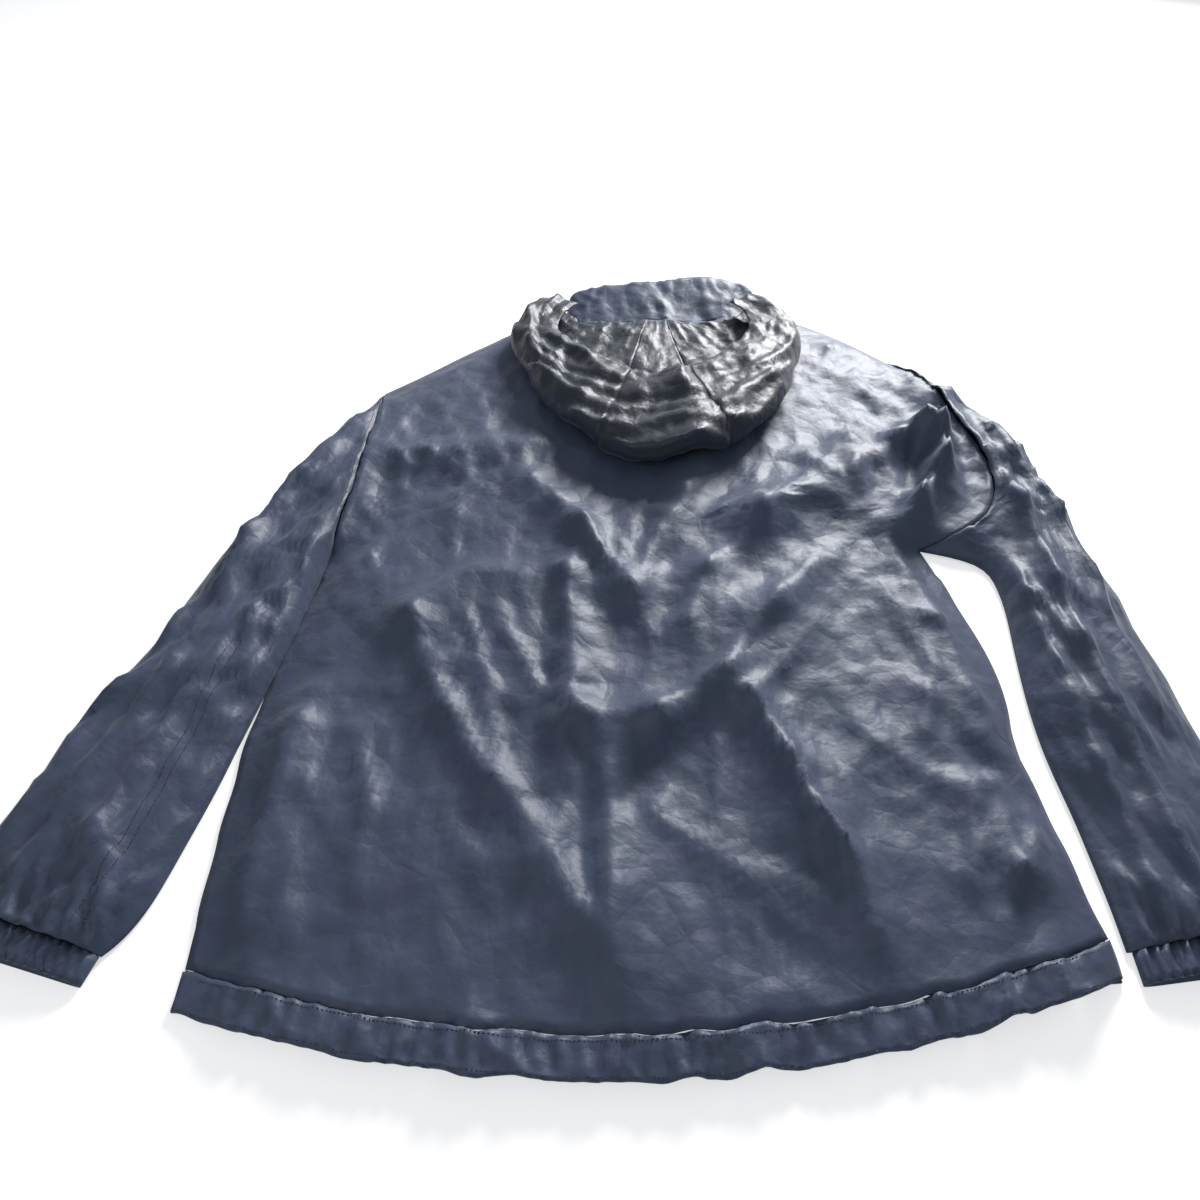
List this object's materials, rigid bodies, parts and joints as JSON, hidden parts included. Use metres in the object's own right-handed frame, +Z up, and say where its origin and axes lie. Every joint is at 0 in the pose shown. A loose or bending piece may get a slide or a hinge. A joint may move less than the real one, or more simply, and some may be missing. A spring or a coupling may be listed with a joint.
{
  "type": "rain jacket",
  "caption": "Hooded rain jacket of thin coated nylon with a zip front, elastic cuffs and a channel hem, lying flat with its back upwards.",
  "frame": {"origin": "middle of the jacket's box, on the surface it lies on", "axes": "+Y from the hem to the hood, +Z up out of the surface, +X to the right seen from above"},
  "size_m": [0.9974, 0.991, 0.0688],
  "materials": {
    "nylon_shell": "satin coated nylon taffeta, slate blue",
    "coated_inside": "glossy coated inner face, worn along the seams",
    "zip": "matt coil zip"
  },
  "bodies": {
    "root": {"back": "nylon_shell", "back_hem": "nylon_shell", "front_left": "nylon_shell", "front_hem_left": "nylon_shell", "front_right": "nylon_shell", "front_hem_right": "nylon_shell", "sleeve_left": "nylon_shell", "sleeve_right": "nylon_shell", "cuff_left": "nylon_shell", "cuff_right": "nylon_shell", "hood_left": "coated_inside", "hood_centre": "coated_inside", "hood_right": "coated_inside", "collar": "nylon_shell", "zip": "zip"}
  },
  "joints": []
}
